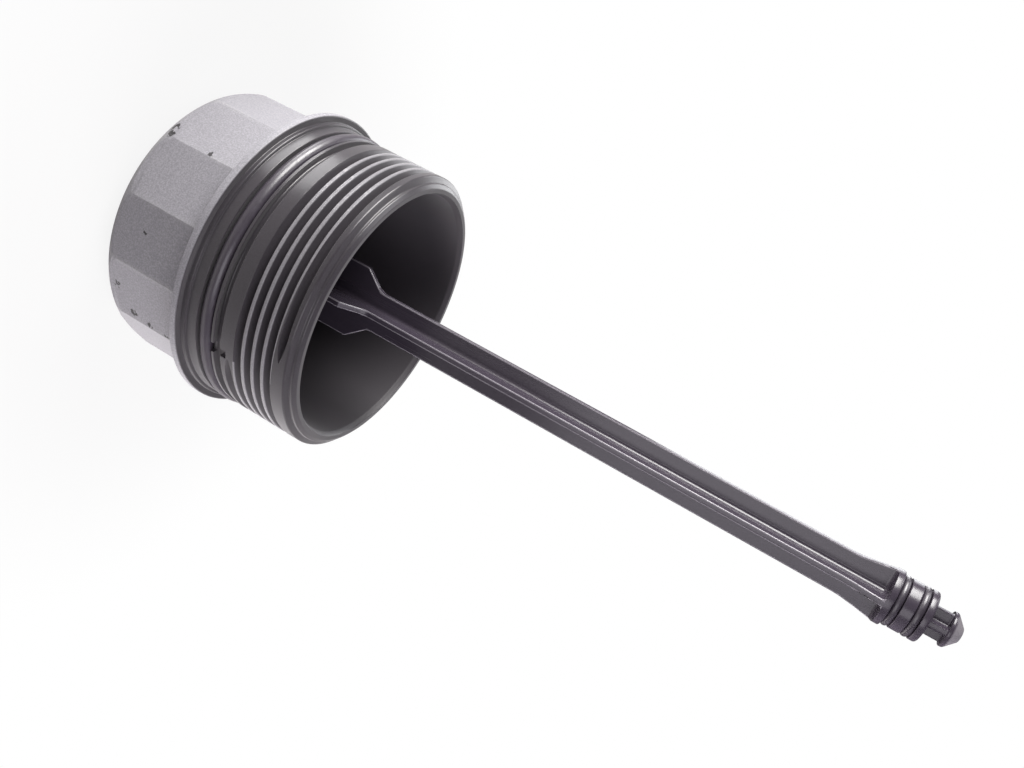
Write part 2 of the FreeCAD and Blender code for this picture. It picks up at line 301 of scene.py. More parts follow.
# %% [markdown]
# ## Inside of the cap
# The cap is a cup. Its inside is one more turned shape, cut away from the solid: a straight
# bore with a chamfered mouth and a rounded floor, round a socket that holds the stem.

# %% Hollow
BORE_R = 34.6
MOUTH_CHAMFER_R = 35.4
MOUTH_CHAMFER_BACK = 62.8
FLOOR = 3.0
FLOOR_CORNER_R = 5.0
SOCKET_BORE_R = 8.0
SOCKET_R = 12.0
SOCKET_TOP = 11.0
PAST = 1.0

chamfer_slope = (MOUTH_CHAMFER_R - BORE_R) / (MOUTH - MOUTH_CHAMFER_BACK)
hollow = turned("hollow", [
    (0, FLOOR, 0),
    (SOCKET_BORE_R, FLOOR, 0),
    (SOCKET_BORE_R, SOCKET_TOP, 0.3),
    (SOCKET_R, SOCKET_TOP, 0.4),
    (SOCKET_R, FLOOR, 1.5),
    (BORE_R, FLOOR, FLOOR_CORNER_R),
    (BORE_R, MOUTH_CHAMFER_BACK, 0.3),
    (MOUTH_CHAMFER_R + PAST * chamfer_slope, MOUTH + PAST, 0),
    (0, MOUTH + PAST, 0),
], BODY_STEPS, round_steps=6)
combine(cap, hollow, "DIFFERENCE")
report(cap)

# %% [markdown]
# ## Slot and notch
# A slot crosses the ridge, and a notch behind the start of the thread lies in line with it,
# so that oil under pressure can pass to the sealing ring. Each is cut by a block that is
# stretched to its size and has its inner corners softened.

# %% Slot and notch
SLOT_ANGLE = math.radians(115)
SLOT_WIDTH, SLOT_DEPTH = 2.9, 1.3
NOTCH_WIDTH, NOTCH_DEPTH, NOTCH_HEIGHT = 2.2, 1.3, 1.8
CUT_PAST = 0.35
CUT_CORNER_R = 0.2


def side_cut(name, width, inner_r, back, front):
    """Cut a slot of one width through the cap's side, down to a radius."""
    bpy.ops.object.select_all(action="DESELECT")
    outer_r = FLANGE_R
    middle = Vector(((inner_r + outer_r) / 2, 0, (back + front) / 2)) * MM
    bpy.ops.mesh.primitive_cube_add(size=MM, location=middle)
    block = bpy.context.object
    block.name = name
    block.scale = (outer_r - inner_r, width, front - back)
    bpy.ops.object.transform_apply(location=True, scale=True)
    open_piece(block)
    choose("EDGE", lambda edge: all(point.co.x < (inner_r + CUT_CORNER_R) * MM for point in edge.verts))
    bpy.ops.mesh.bevel(offset=CUT_CORNER_R * MM, segments=3, affect="EDGES")
    bpy.ops.mesh.select_all(action="SELECT")
    bpy.ops.transform.rotate(value=-SLOT_ANGLE, orient_axis="Z", center_override=(0, 0, 0))
    close_piece()
    print(name, "is", width, "mm wide and reaches in to radius", round(inner_r, 2))
    combine(cap, block, "DIFFERENCE")


side_cut("slot", SLOT_WIDTH, RIDGE_R - SLOT_DEPTH, RIDGE_BACK - CUT_PAST, RIDGE_FRONT + CUT_PAST)
side_cut("notch", NOTCH_WIDTH, CREST_R - NOTCH_DEPTH, LAND_BACK - CUT_PAST, LAND_BACK + NOTCH_HEIGHT)
report(cap)

# %% [markdown]
# ## Thread
# The thread is a right-hand vee groove with a pitch of three millimetres. The shape of one
# groove is drawn as a closed outline and wound up with the screw modifier, which is how a
# thread tool travels. The outline flares where it leaves the land, so that the crests keep
# rounded edges after the cut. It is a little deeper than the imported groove, because the
# crests look narrow on the real cap. At both ends the tool is drawn outwards over a few
# degrees, and the groove runs out as it does in a mould.

# %% Thread tool
PITCH = 3.0
THREAD_DEPTH = 2.0
FLANK_ANGLE = math.radians(30)
GROOVE_TURNS = 4.97
GROOVE_START_Z = 44.95
GROOVE_START_ANGLE = math.radians(116)
CREST_ROUND = 0.25
CREST_ROUND_STEPS = 5
CREST_LIFT = 0.02
TOOL_PAST = 0.3
ROOT_HALF_WIDTH = 0.1
GROOVE_STEPS_A_TURN = 180
RUN_OUT_STEPS = 5

half_width = THREAD_DEPTH * math.tan(FLANK_ANGLE)
flare_turn = math.pi / 2 - FLANK_ANGLE
flare_length = CREST_ROUND * math.tan(flare_turn / 2)
flare_centre = (CREST_R - CREST_ROUND + CREST_LIFT, half_width + flare_length)
upper_side = [(CREST_R - THREAD_DEPTH, ROOT_HALF_WIDTH)]
for step in range(CREST_ROUND_STEPS):
    turn = flare_turn * (1 - step / CREST_ROUND_STEPS)
    upper_side.append((
        flare_centre[0] + CREST_ROUND * math.cos(turn),
        flare_centre[1] - CREST_ROUND * math.sin(turn),
    ))
upper_side.append((CREST_R + TOOL_PAST, upper_side[-1][1]))
groove_outline = [(radius, -offset, 0) for radius, offset in reversed(upper_side)]
groove_outline += [(radius, offset, 0) for radius, offset in upper_side]
print("groove outline in mm:", [(round(r, 2), round(z, 2)) for r, z, _ in groove_outline])

tool = draw_outline("thread_tool", groove_outline, ROUND_STEPS)
bpy.ops.mesh.select_all(action="SELECT")
bpy.ops.mesh.edge_face_add()
bpy.ops.mesh.delete(type="ONLY_FACE")
close_piece()

# %% [markdown]
# ## Winding the groove
# The screw modifier turns and lifts the outline in small steps. The rings of points at both
# ends are then moved outwards, each ring a little more than the one before it, so that the
# groove gets shallow and ends smoothly. The finished tool is cut out of the land.

# %% Wind the tool up and run its ends out
groove_steps = round(GROOVE_TURNS * GROOVE_STEPS_A_TURN)
outline_points = len(tool.data.vertices)
select_only(tool)
bpy.ops.object.modifier_add(type="SCREW")
screw = tool.modifiers[-1]
screw.axis = "Z"
screw.angle = FULL_TURN * GROOVE_TURNS
screw.screw_offset = PITCH * GROOVE_TURNS * MM
screw.steps = groove_steps
screw.render_steps = groove_steps
screw.use_merge_vertices = False
bpy.ops.object.modifier_apply(modifier=screw.name)
print("tool has", len(tool.data.vertices), "points in rings of", outline_points)

open_piece(tool)
for step in range(RUN_OUT_STEPS):
    lift = 1 + THREAD_DEPTH / CREST_R * ((RUN_OUT_STEPS - step) / RUN_OUT_STEPS) ** 2
    for ring in (step, groove_steps - step):
        first = ring * outline_points
        choose("VERT", lambda point: first <= point.index < first + outline_points)
        bpy.ops.transform.resize(value=(lift, lift, 1), center_override=(0, 0, 0))
choose("EDGE", lambda edge: edge.is_boundary)
bpy.ops.mesh.edge_face_add()
bpy.ops.mesh.select_all(action="SELECT")
bpy.ops.mesh.normals_make_consistent(inside=False)
bpy.ops.transform.translate(value=(0, 0, GROOVE_START_Z * MM))
bpy.ops.transform.rotate(value=-GROOVE_START_ANGLE, orient_axis="Z", center_override=(0, 0, 0))
close_piece()
report(tool)
combine(cap, tool, "DIFFERENCE")
report(cap)

# %% [markdown]
# ## Large sealing ring
# A rubber ring lies in the groove in front of the flange and seals the cap in its housing.
# It is a circle spun about the axis. A real ring is squeezed flat where it sits, so the
# inside of the section is pressed in a little before the spin.

# %% Sealing rings
RING_PLAY = 0.05
CAP_RING_SECTION, STEM_RING_SECTION = 3.5, 1.8
SECTION_POINTS = 40
SEAT_FLAT_SHARE = 0.86


def sealing_ring(name, seat_r, section, height, steps):
    """A rubber ring of round section, slightly flattened where it sits on its seat."""
    section_r = section / 2
    flat_r = -section_r * SEAT_FLAT_SHARE * MM
    centre_r = seat_r + RING_PLAY + section_r
    bpy.ops.object.select_all(action="DESELECT")
    bpy.ops.mesh.primitive_circle_add(vertices=SECTION_POINTS, radius=section_r * MM)
    ring = bpy.context.object
    ring.name = name
    open_piece(ring)
    bpy.ops.mesh.select_all(action="SELECT")
    bpy.ops.transform.rotate(value=math.pi / 2, orient_axis="X", center_override=(0, 0, 0))
    choose("VERT", lambda point: point.co.x < flat_r)
    bpy.ops.transform.resize(value=(0, 1, 1), center_override=(flat_r, 0, 0))
    bpy.ops.mesh.select_all(action="SELECT")
    bpy.ops.transform.translate(value=(centre_r * MM, 0, height * MM))
    spin_outline(ring, steps)
    report(ring)
    return ring


groove_middle = (COLLAR_FRONT + RIDGE_BACK) / 2
cap_ring = sealing_ring("large_ring", RING_SEAT_R, CAP_RING_SECTION, groove_middle, BODY_STEPS)

# %% [markdown]
# ## Stem
# The stem is one long moulding: a plug in the cap's socket, a round foot, four thin fins that
# flare out at both ends, a seal head with two ring grooves, a cross-shaped neck and a conical
# tip. Its outside is spun first, in one outline from the plug to the tip.

# %% Stem blank
STEM_STEPS = 144
PLUG_BACK, PLUG_R, PLUG_CHAMFER, FOOT_R = 3.3, 7.95, 0.6, 11.0
FOOT_BACK, FIN_BACK, FOOT_FLARE, SHAFT_BACK = 11.0, 13.0, 54.3, 60.0
HEAD_FLARE, SEAL_COLLAR, LOWER_GROOVE, SEAL_LAND = 194.5, 202.9, 204.5, 206.5
UPPER_GROOVE, END_LAND, NECK, TIP_FLANGE = 209.2, 211.2, 212.9, 217.4
TIP_CONE, TIP = 218.2, 220.6
FOOT_FIN_R, SHAFT_R, SEAL_COLLAR_R, STEM_SEAT_R = 10.0, 5.45, 6.85, 4.5
SEAL_LAND_R, END_LAND_R, NECK_R, TIP_FLANGE_R, TIP_END_R = 6.25, 6.3, 3.6, 4.3, 1.7

stem = turned("stem_moulding", [
    (0, PLUG_BACK, 0),
    (PLUG_R - PLUG_CHAMFER, PLUG_BACK, 0),
    (PLUG_R, PLUG_BACK + PLUG_CHAMFER, 0),
    (PLUG_R, FOOT_BACK, 0),
    (FOOT_R, FOOT_BACK, 0.2),
    (FOOT_R, FIN_BACK, 0.3),
    (FOOT_FIN_R, FIN_BACK, 0),
    (FOOT_FIN_R, FOOT_FLARE, 0.37),
    (SHAFT_R, SHAFT_BACK, 1.47),
    (SHAFT_R, HEAD_FLARE, 1.7),
    (SEAL_COLLAR_R, SEAL_COLLAR, 0.12),
    (SEAL_COLLAR_R, LOWER_GROOVE, 0.2),
    (STEM_SEAT_R, LOWER_GROOVE, 0.1),
    (STEM_SEAT_R, SEAL_LAND, 0.1),
    (SEAL_LAND_R, SEAL_LAND, 0.2),
    (SEAL_LAND_R, UPPER_GROOVE, 0.2),
    (STEM_SEAT_R, UPPER_GROOVE, 0.1),
    (STEM_SEAT_R, END_LAND, 0.1),
    (END_LAND_R, END_LAND, 0.2),
    (END_LAND_R, NECK, 0.5),
    (NECK_R, NECK, 0.25),
    (NECK_R, TIP_FLANGE, 0.25),
    (TIP_FLANGE_R, TIP_FLANGE, 0.12),
    (TIP_FLANGE_R, TIP_CONE, 0.25),
    (TIP_END_R, TIP, 0.31),
    (0, TIP, 0),
], STEM_STEPS)
report(stem)

# %% [markdown]
# ## Pockets
# Four pockets turn the round blank into a cross. They are cut away with copies of one long
# block whose inner edges are rounded, as they are in the mould. The short neck gets the same
# treatment with a smaller block.

# %% Pockets between the fins
FIN_COUNT = 4
FIN_THICKNESS = 1.6
SHAFT_CORNER_R, NECK_CORNER_R = 1.1, 0.3
SHAFT_REACH, NECK_REACH = 11.0, 4.4


def pockets(name, reach, back, front, softness, soft_back):
    """Four blocks that fill the spaces between the fins of a cross, softened inside."""
    bpy.ops.object.select_all(action="DESELECT")
    inner = FIN_THICKNESS / 2
    middle = Vector((inner + reach / 2, inner + reach / 2, (back + front) / 2)) * MM
    bpy.ops.mesh.primitive_cube_add(size=MM, location=middle)
    block = bpy.context.object
    block.name = name
    block.scale = (reach, reach, front - back)
    bpy.ops.object.transform_apply(location=True, scale=True)

    def meets_fin(edge):
        middle = (edge.verts[0].co + edge.verts[1].co) / 2 / MM
        above = soft_back or middle.z > back + softness
        return above and max(middle.x, middle.y) < inner + reach - softness

    open_piece(block)
    choose("EDGE", meets_fin)
    bpy.ops.mesh.bevel(offset=softness * MM, segments=6, affect="EDGES")
    close_piece()
    blocks = [block]
    for index in range(1, FIN_COUNT):
        select_only(block)
        bpy.ops.object.duplicate()
        copy = bpy.context.object
        open_piece(copy)
        bpy.ops.mesh.select_all(action="SELECT")
        quarter = FULL_TURN * index / FIN_COUNT
        bpy.ops.transform.rotate(value=quarter, orient_axis="Z", center_override=(0, 0, 0))
        close_piece()
        blocks.append(copy)
    return blocks


for block in pockets("shaft_pocket", SHAFT_REACH, FIN_BACK, SEAL_COLLAR, SHAFT_CORNER_R, False):
    combine(stem, block, "DIFFERENCE")
for block in pockets("neck_pocket", NECK_REACH, NECK, TIP_FLANGE, NECK_CORNER_R, True):
    combine(stem, block, "DIFFERENCE")
report(stem)

# %% [markdown]
# ## Rounded fin edges
# The mould leaves every outer edge of the fins slightly round, and these edges are the thin
# bright lines that run along the stem. They are found by the angle between their two faces
# and bevelled.

# %% Round the fins
FIN_EDGE_R = 0.3
SMALL_EDGE_R = 0.15
SHARP_ANGLE = math.radians(45)
FIN_UPRIGHT = 0.7


def sharp_outside(edge):
    """True for an outer edge that is still sharp."""
    if len(edge.link_faces) != 2 or not edge.is_convex:
        return False
    return edge.calc_face_angle() > SHARP_ANGLE


def along_fin(edge):
    """True for a sharp outer edge that runs along a fin of the shaft."""
    heights = [point.co.z / MM for point in edge.verts]
    if not (sharp_outside(edge) and FIN_BACK < min(heights) and max(heights) < SEAL_COLLAR):
        return False
    return abs((edge.verts[1].co - edge.verts[0].co).normalized().z) > FIN_UPRIGHT


open_piece(stem)
print("edges along the fins:", choose("EDGE", along_fin))
bpy.ops.mesh.bevel(offset=FIN_EDGE_R * MM, segments=3, affect="EDGES", clamp_overlap=False)
print("other sharp edges on the stem:", choose("EDGE", sharp_outside))
bpy.ops.mesh.bevel(offset=SMALL_EDGE_R * MM, segments=2, affect="EDGES", clamp_overlap=False)
close_piece()
report(stem)

# %% [markdown]
# ## Small sealing rings
# Two small rings seal the stem in the bottom of the housing. They are made like the large
# one, each for the middle of its own groove.

# %% Small rings
lower_middle = (LOWER_GROOVE + SEAL_LAND) / 2
upper_middle = (UPPER_GROOVE + END_LAND) / 2
lower_ring = sealing_ring("lower_ring", STEM_SEAT_R, STEM_RING_SECTION, lower_middle, STEM_STEPS)
upper_ring = sealing_ring("upper_ring", STEM_SEAT_R, STEM_RING_SECTION, upper_middle, STEM_STEPS)

# %% [markdown]
# ## Smooth shading
# Smooth shading hides the small faces of the turned shapes, and edges sharper than the limit
# stay crisp. Weighted normals then keep the large flats truly flat beside their rounded
# edges.

# %% Smooth shading
SMOOTH_ANGLE = math.radians(38)
for piece in (cap, cap_ring, stem, lower_ring, upper_ring):
    select_only(piece)
    bpy.ops.object.shade_smooth_by_angle(angle=SMOOTH_ANGLE)
    bpy.ops.object.modifier_add(type="WEIGHTED_NORMAL")
    piece.modifiers[-1].keep_sharp = True
    bpy.ops.object.modifier_apply(modifier=piece.modifiers[-1].name)
    print(piece.name, "smoothed")

# %% [markdown]
# ## Node groups
# Three effects are shared by several finishes, so each is a node group that is built once:
# a fine grain that the mould leaves in the plastic, haze that settles in patches, and one
# small ragged nick at a place that the material chooses. Each gives only masks and heights.

# %% Helpers for nodes
def new_group(name, inputs, outputs):
    """An empty shader group with named number inputs and outputs, read at a position."""
    group = bpy.data.node_groups.new(name, "ShaderNodeTree")
    group.interface.new_socket("Position", in_out="INPUT", socket_type="NodeSocketVector")
    for label, value in inputs.items():
        socket = group.interface.new_socket(label, in_out="INPUT", socket_type="NodeSocketFloat")
        socket.default_value = value
    for label in outputs:
        group.interface.new_socket(label, in_out="OUTPUT", socket_type="NodeSocketFloat")
    start = group.nodes.new("NodeGroupInput")
    end = group.nodes.new("NodeGroupOutput")
    return group, start, end


def add(tree, kind, links=None, **settings):
    """Add a node, set its options and values, and feed its inputs."""
    node = tree.nodes.new(kind)
    for label, value in settings.items():
        setattr(node, label, value)
    for socket, source in (links or {}).items():
        if isinstance(source, bpy.types.NodeSocket):
            tree.links.new(source, node.inputs[socket])
        else:
            node.inputs[socket].default_value = source
    return node


def math_node(tree, operation, first, second=0.0, clamp=False):
    """One sum in a node tree, as its result socket."""
    node = add(tree, "ShaderNodeMath", {0: first, 1: second}, operation=operation, use_clamp=clamp)
    return node.outputs[0]


def ramp(tree, value, low, high, out_low=0.0, out_high=1.0):
    """Map a value smoothly from one range to another."""
    links = {"Value": value, "From Min": low, "From Max": high, "To Min": out_low, "To Max": out_high}
    return add(tree, "ShaderNodeMapRange", links, interpolation_type="SMOOTHSTEP").outputs["Result"]


def ramp_straight(tree, value, low, high, out_low, out_high):
    """Map a value in a straight line from one range to another."""
    links = {"Value": value, "From Min": low, "From Max": high, "To Min": out_low, "To Max": out_high}
    return add(tree, "ShaderNodeMapRange", links).outputs["Result"]


def product(tree, first, *others):
    """Several masks multiplied together."""
    result = first
    for other in others:
        result = math_node(tree, "MULTIPLY", result, other)
    return result


print("helpers for nodes ready")

# %% [markdown]
# ## Grain, haze and nick
# The grain is a fine noise with soft cells mixed in, for its height, and the same noise as
# speckles. The haze is cloudy noise broken up by fine specks. The nick is everything within
# its reach of one place, and noise makes its edge ragged.

# %% Moulded grain
grain, grain_in, grain_out = new_group("moulded_grain", {"Scale": 2500.0}, ["Height", "Speckle"])
fine = add(grain, "ShaderNodeTexNoise", {
    "Vector": grain_in.outputs["Position"], "Scale": grain_in.outputs["Scale"], "Detail": 4.0,
    "Roughness": 0.6})
cells = add(grain, "ShaderNodeTexVoronoi", {
    "Vector": grain_in.outputs["Position"], "Scale": grain_in.outputs["Scale"]},
    feature="SMOOTH_F1")
height = math_node(grain, "ADD", math_node(grain, "MULTIPLY", fine.outputs["Fac"], 0.7),
                   math_node(grain, "MULTIPLY", cells.outputs["Distance"], 0.4))
grain.links.new(height, grain_out.inputs["Height"])
grain.links.new(ramp(grain, fine.outputs["Fac"], 0.35, 0.7), grain_out.inputs["Speckle"])
print(grain.name, "gives", [socket.name for socket in grain_out.inputs if socket.name])

# %% Settled haze
haze, haze_in, haze_out = new_group("settled_haze", {"Scale": 60.0, "Amount": 0.5}, ["Mask"])
clouds = add(haze, "ShaderNodeTexNoise", {
    "Vector": haze_in.outputs["Position"], "Scale": haze_in.outputs["Scale"], "Detail": 6.0,
    "Roughness": 0.65})
specks = add(haze, "ShaderNodeTexNoise", {
    "Vector": haze_in.outputs["Position"], "Scale": 1800.0, "Detail": 2.0})
mixed = math_node(haze, "MULTIPLY", ramp(haze, clouds.outputs["Fac"], 0.32, 0.72),
                  ramp(haze, specks.outputs["Fac"], 0.2, 0.75))
haze.links.new(math_node(haze, "MULTIPLY", mixed, haze_in.outputs["Amount"], True), haze_out.inputs["Mask"])
print(haze.name, "gives", [socket.name for socket in haze_out.inputs if socket.name])

# %% One nick
nick, nick_in, nick_out = new_group("nick", {"Reach": 0.001}, ["Mask"])
nick.interface.new_socket("Place", in_out="INPUT", socket_type="NodeSocketVector")
warp = add(nick, "ShaderNodeTexNoise", {
    "Vector": nick_in.outputs["Position"], "Scale": 1100.0, "Detail": 3.0})
away = add(nick, "ShaderNodeVectorMath", {0: nick_in.outputs["Position"], 1: nick_in.outputs["Place"]},
           operation="DISTANCE").outputs["Value"]
share = math_node(nick, "DIVIDE", away, nick_in.outputs["Reach"])
ragged = math_node(nick, "ADD", share, ramp(nick, warp.outputs["Fac"], 0.35, 0.65, -0.2, 0.7))
nick.links.new(ramp(nick, ragged, 1.0, 0.7), nick_out.inputs["Mask"])
print("node groups:", [group.name for group in bpy.data.node_groups])

# %% [markdown]
# ## Finishes
# A finish is a material with one Principled shader. Values that are the same all over are set
# on the shader itself, and only what changes from place to place is linked to it. Masks say
# where, and each mask blends one colour over another.

# %% Helpers for finishes
def new_material(name, **values):
    """A material with one Principled shader, its constant values set on the shader."""
    material = bpy.data.materials.new(name)
    material.use_nodes = True
    tree = material.node_tree
    shader = tree.nodes["Principled BSDF"]
    for label, value in values.items():
        shader.inputs[label.replace("_", " ")].default_value = value
    position = add(tree, "ShaderNodeTexCoord").outputs["Object"]
    return material, tree, shader, position


def place_group(tree, group, position, **values):
    """Place a shared group in a material with its own values."""
    node = add(tree, "ShaderNodeGroup", node_tree=group)
    tree.links.new(position, node.inputs["Position"])
    for label, value in values.items():
        node.inputs[label].default_value = value
    return node


def blend_colour(tree, factor, low, high):
    """Mix two colours by a mask."""
    node = add(tree, "ShaderNodeMix", {"Factor": factor}, data_type="RGBA")
    for index, colour in ((6, low), (7, high)):
        if isinstance(colour, bpy.types.NodeSocket):
            tree.links.new(colour, node.inputs[index])
        else:
            node.inputs[index].default_value = (*colour, 1)
    return node.outputs[2]


def add_relief(tree, shader, height, strength, distance):
    """Let a height tilt the light on the surface, as fine relief does."""
    bump = add(tree, "ShaderNodeBump", {"Height": height, "Strength": strength, "Distance": distance})
    tree.links.new(bump.outputs[0], shader.inputs["Normal"])


print("helpers for finishes ready")

# %% [markdown]
# ## Black nylon of the cap
# The cap is black nylon filled with short glass fibres. The wrench head and the flange's rim
# have a fine moulded grain and years of handling on them, so they are matt and a little grey,
# and their colour is painted paler still as a painted sheen for the light that grazes them. The
# corners between the flats are rubbed pale. The turned part in front of the flange is smoother
# and darker. The material finds the head and the flange by their height, the corners by the
# angle about the axis, and the inside by its distance from the axis. That distance can't tell
# the cup's floor from the head's flat end, so both get one colour.

# %% Head, inside and corners as masks
ZONE_BLUR = 0.3
DULL_BLUR = 0.4
CORNER_BAND = 0.07

cap_nylon, tree, shader, position = new_material(
    "cap_nylon", Specular_IOR_Level=0.55, Sheen_Weight=0.2, Sheen_Roughness=0.5)
axes = add(tree, "ShaderNodeSeparateXYZ", {0: position})
height = axes.outputs["Z"]
across = add(tree, "ShaderNodeCombineXYZ", {"X": axes.outputs["X"], "Y": axes.outputs["Y"]})
radius = add(tree, "ShaderNodeVectorMath", {0: across.outputs[0]}, operation="LENGTH").outputs["Value"]
on_head = ramp(tree, height, (FLANGE_BACK + ZONE_BLUR) * MM, (FLANGE_BACK - ZONE_BLUR) * MM)
head_and_rim_zone = ramp(tree, height, FLANGE_FRONT * MM, (FLANGE_FRONT - DULL_BLUR) * MM)
inside = ramp(tree, radius, (MOUTH_CHAMFER_R + ZONE_BLUR) * MM, BORE_R * MM)
angle = math_node(tree, "ARCTAN2", axes.outputs["Y"], axes.outputs["X"])
flats_passed = math_node(tree, "MULTIPLY", angle, HEAD_FLATS / FULL_TURN)
near_corner = ramp(tree, math_node(tree, "PINGPONG", flats_passed, 0.5), CORNER_BAND, 0.0)
haze_mask = place_group(tree, haze, position, Scale=70.0, Amount=0.8).outputs["Mask"]
worn_corner = product(tree, near_corner, on_head, haze_mask)
print("masks for the head, the inside and", HEAD_FLATS, "corners")

# %% [markdown]
# ## Painted highlights on the crests
# The crests of the thread are painted as thin lines lighter than the grooves, a painted highlight
# where their rounded edges catch the light. Their mask winds up with the thread. The height is
# counted in pitches from the start of the groove, and the share of a turn that lies between the
# start and each place is taken off it. What is left counts the grooves, so it tells what lies
# between the first and the last one.

# %% Crests as a mask
CREST_BAND = (0.35, 0.1)
GROOVE_FADE = 0.3
FIRST_CREST, FIRST_FADE = 0.5, 0.07
PAST_LAST_GROOVE, LAST_FADE = 0.47, 0.06

past_start = math_node(tree, "SUBTRACT", angle, GROOVE_START_ANGLE)
wound = math_node(tree, "FRACT", math_node(tree, "DIVIDE", past_start, FULL_TURN))
above_start = math_node(tree, "SUBTRACT", height, GROOVE_START_Z * MM)
up_thread = math_node(tree, "DIVIDE", above_start, PITCH * MM)
groove_count = math_node(tree, "SUBTRACT", up_thread, wound)
last_groove = math.floor(GROOVE_TURNS)
last_crest = last_groove + PAST_LAST_GROOVE
# Painted highlight: the crest lines are painted lighter where the rounded crests catch the light.
crest_highlight = product(
    tree,
    ramp(tree, groove_count, 0.0, GROOVE_FADE),
    ramp(tree, groove_count, last_groove, last_groove - GROOVE_FADE),
    ramp(tree, up_thread, FIRST_CREST, FIRST_CREST + FIRST_FADE),
    ramp(tree, up_thread, last_crest, last_crest - LAST_FADE),
    ramp(tree, radius, (CREST_R - CREST_BAND[0]) * MM, (CREST_R - CREST_BAND[1]) * MM),
)
print("crests are rubbed up to", last_crest, "turns")

# %% [markdown]
# ## Nicks
# The head has been knocked in a few places, most of them at or near a corner between two
# flats. Each nick is a ragged dark spot at a chosen place with its own reach in millimetres,
# and the spots are joined by keeping the largest value.

# %% Nicks as a mask
NICKS_MM = (
    ((25.9, 26.8, 4.2), 1.7),
    ((24.3, 28.8, 5.2), 1.4),
    ((24.0, 29.0, 18.3), 0.9),
    ((-15.9, 33.3, 6.9), 1.4),
    ((-21.9, 30.5, 11.8), 1.4),
    ((-22.6, 30.2, 17.3), 1.1),
    ((-23.0, 29.6, 23.0), 1.0),
    ((1.3, 37.0, 13.1), 0.8),
)

nicked = 0.0
for place, reach in NICKS_MM:
    nick_node = place_group(tree, nick, position, Place=Vector(place) * MM, Reach=reach * MM)
    nicked = math_node(tree, "MAXIMUM", nick_node.outputs["Mask"], nicked)
print(len(NICKS_MM), "nicks placed")

# %% [markdown]
# ## Colour of the cap
# Three finishes come in a darker and a paler tone, mixed by the speckle of the grain. They
# are blended over each other from the lowest layer to the highest: the smooth plastic, the
# painted highlight on its crests, the matt head with its painted sheen, the inside, the worn
# corners and the nicks.

# %% Colour of the cap
SMOOTH_TONES = (0.022, 0.018, 0.023), (0.029, 0.025, 0.031)
# The crest tones are a painted highlight on the crests.
CREST_HIGHLIGHT_TONES = (0.150, 0.143, 0.156), (0.195, 0.187, 0.203)
# The dull tones are matt, handled plastic, painted paler as a painted sheen.
DULL_SHEEN_TONES = (0.183, 0.177, 0.196), (0.272, 0.264, 0.288)
INSIDE_COLOUR = (0.019, 0.015, 0.020)
WORN_COLOUR = (0.34, 0.335, 0.34)
NICK_COLOUR = (0.014, 0.012, 0.014)

grain_node = place_group(tree, grain, position, Scale=2600.0)
smooth, highlighted, dull_sheen = [
    blend_colour(tree, grain_node.outputs["Speckle"], dark, pale)
    for dark, pale in (SMOOTH_TONES, CREST_HIGHLIGHT_TONES, DULL_SHEEN_TONES)
]
# Painted highlight on the crests, laid over the smooth plastic.
colour = blend_colour(tree, crest_highlight, smooth, highlighted)
# Matt head and flange rim, painted paler as a painted sheen.
colour = blend_colour(tree, head_and_rim_zone, colour, dull_sheen)
colour = blend_colour(tree, inside, colour, INSIDE_COLOUR)
colour = blend_colour(tree, worn_corner, colour, WORN_COLOUR)
colour = blend_colour(tree, nicked, colour, NICK_COLOUR)
tree.links.new(colour, shader.inputs["Base Color"])
print("colour of", cap_nylon.name, "set")

# %% [markdown]
# ## Gloss and relief of the cap
# The smooth part has a soft gloss that haze dulls a little. The head, the flange's rim and
# the inside are matt. The grain lies only on the dull part, and each nick is a small dent.

# %% Gloss and relief of the cap
SMOOTH_ROUGHNESS = (0.28, 0.32)
MATT_ROUGHNESS = 0.6
NICK_DEPTH = 4.0
CAP_RELIEF = (0.25, 0.00006)

smooth_part = ramp(tree, haze_mask, 0.0, 0.8, *SMOOTH_ROUGHNESS)
on_matt = math_node(tree, "MAXIMUM", head_and_rim_zone, inside)
shares = {"Factor": on_matt, 2: smooth_part, 3: MATT_ROUGHNESS}
rough = add(tree, "ShaderNodeMix", shares, data_type="FLOAT")
tree.links.new(rough.outputs[0], shader.inputs["Roughness"])
grain_height = math_node(tree, "MULTIPLY", grain_node.outputs["Height"], head_and_rim_zone)
dents = math_node(tree, "MULTIPLY", nicked, NICK_DEPTH)
add_relief(tree, shader, math_node(tree, "SUBTRACT", grain_height, dents), *CAP_RELIEF)
print(cap_nylon.name, "has", len(tree.nodes), "nodes")

# %% [markdown]
# ## Black nylon of the stem
# The stem is the same kind of plastic out of a polished mould. It is smoother and a little
# shiny, with faint streaks along it where the plastic flowed, and a thin haze in patches. The
# streaks are a noise that is stretched along the stem.

# %% Stem plastic
STEM_TONES = (0.036, 0.029, 0.041), (0.044, 0.036, 0.050)
STEM_HAZE = (0.066, 0.056, 0.072)
STREAK_SCALE = (900.0, 900.0, 12.0)
STEM_ROUGHNESS = (0.24, 0.28)
STEM_RELIEF = (0.01, 0.00004)

stem_nylon, tree, shader, position = new_material("stem_nylon", Specular_IOR_Level=0.6)
flow = add(tree, "ShaderNodeMapping", {"Vector": position, "Scale": STREAK_SCALE})
streaks = add(tree, "ShaderNodeTexNoise", {"Vector": flow.outputs[0], "Scale": 1.0, "Detail": 3.0})
streak = streaks.outputs["Fac"]
haze_mask = place_group(tree, haze, position, Scale=90.0, Amount=0.25).outputs["Mask"]
hazy_stem = blend_colour(tree, haze_mask, blend_colour(tree, streak, *STEM_TONES), STEM_HAZE)
tree.links.new(ramp(tree, streak, 0.3, 0.7, *STEM_ROUGHNESS), shader.inputs["Roughness"])
grain_node = place_group(tree, grain, position, Scale=1800.0)
add_relief(tree, shader, grain_node.outputs["Height"], *STEM_RELIEF)
print(stem_nylon.name, "has", len(tree.nodes), "nodes before its edges are rubbed")
